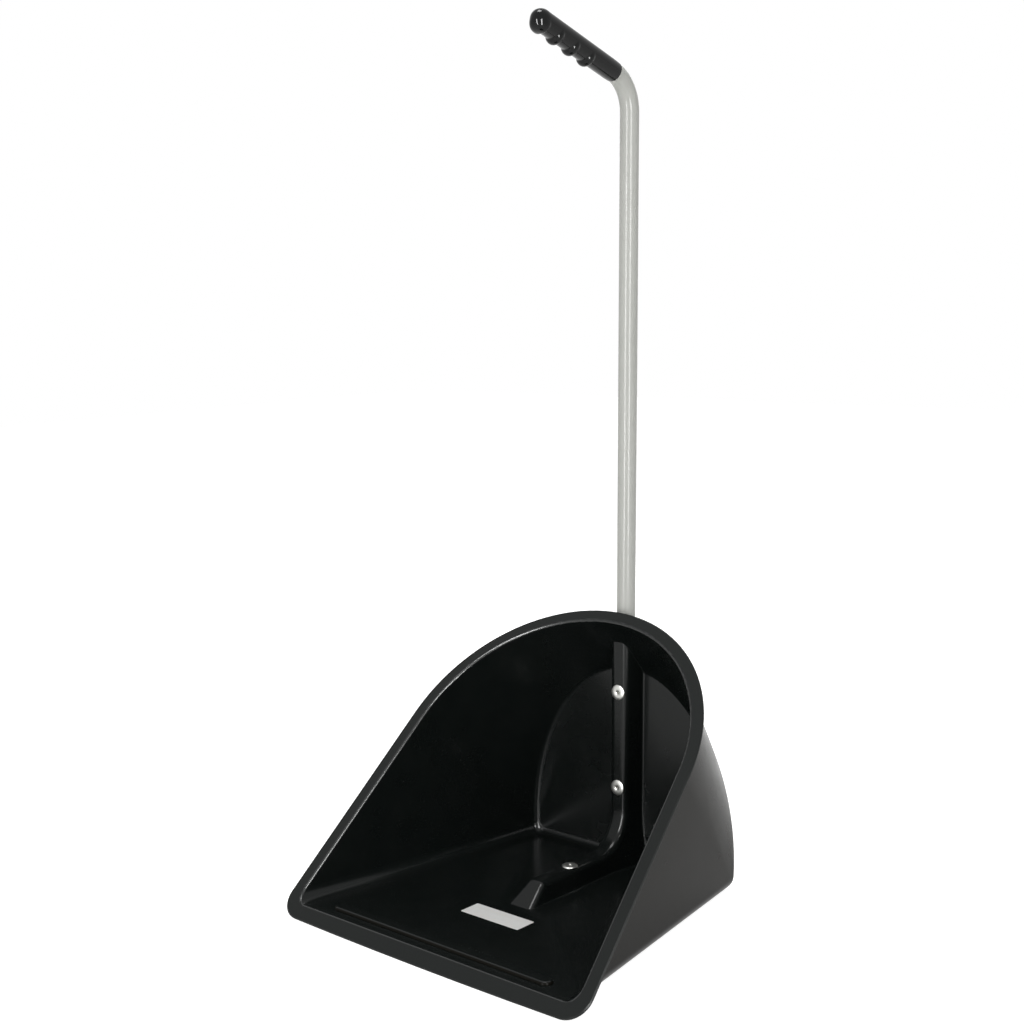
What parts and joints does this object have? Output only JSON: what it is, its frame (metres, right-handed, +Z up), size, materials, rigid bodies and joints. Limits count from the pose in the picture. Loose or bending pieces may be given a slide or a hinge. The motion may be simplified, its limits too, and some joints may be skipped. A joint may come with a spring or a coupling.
{
  "type": "manure scoop",
  "caption": "Upright manure scoop: a moulded black tray with a wide arched mouth, riveted to a bent steel tube with a finger grip, held upright in one hand while muck is raked in.",
  "frame": {"origin": "bottom centre of the whole scoop's box, on the ground it stands on", "axes": "+Z up, +Y from the mouth towards the back wall, +X to the right of someone who looks into the mouth"},
  "size_m": [0.3876, 0.3614, 0.8874],
  "materials": {
    "tray_plastic": "glossy inside, satin outside",
    "tube_paint": "semi-gloss",
    "grip_plastic": "soft, semi-gloss",
    "rivet_aluminium": "plain",
    "mandrel_steel": "broken end",
    "label_film": "blank film"
  },
  "bodies": {
    "root": {"scoop_tray": "tray_plastic", "handle_tube": "tube_paint", "hand_grip": "grip_plastic", "upper_back_rivet": "rivet_aluminium", "lower_back_rivet": "rivet_aluminium", "floor_rivet": "rivet_aluminium", "upper_back_mandrel": "mandrel_steel", "lower_back_mandrel": "mandrel_steel", "floor_mandrel": "mandrel_steel", "blank_label": "label_film"}
  },
  "joints": []
}
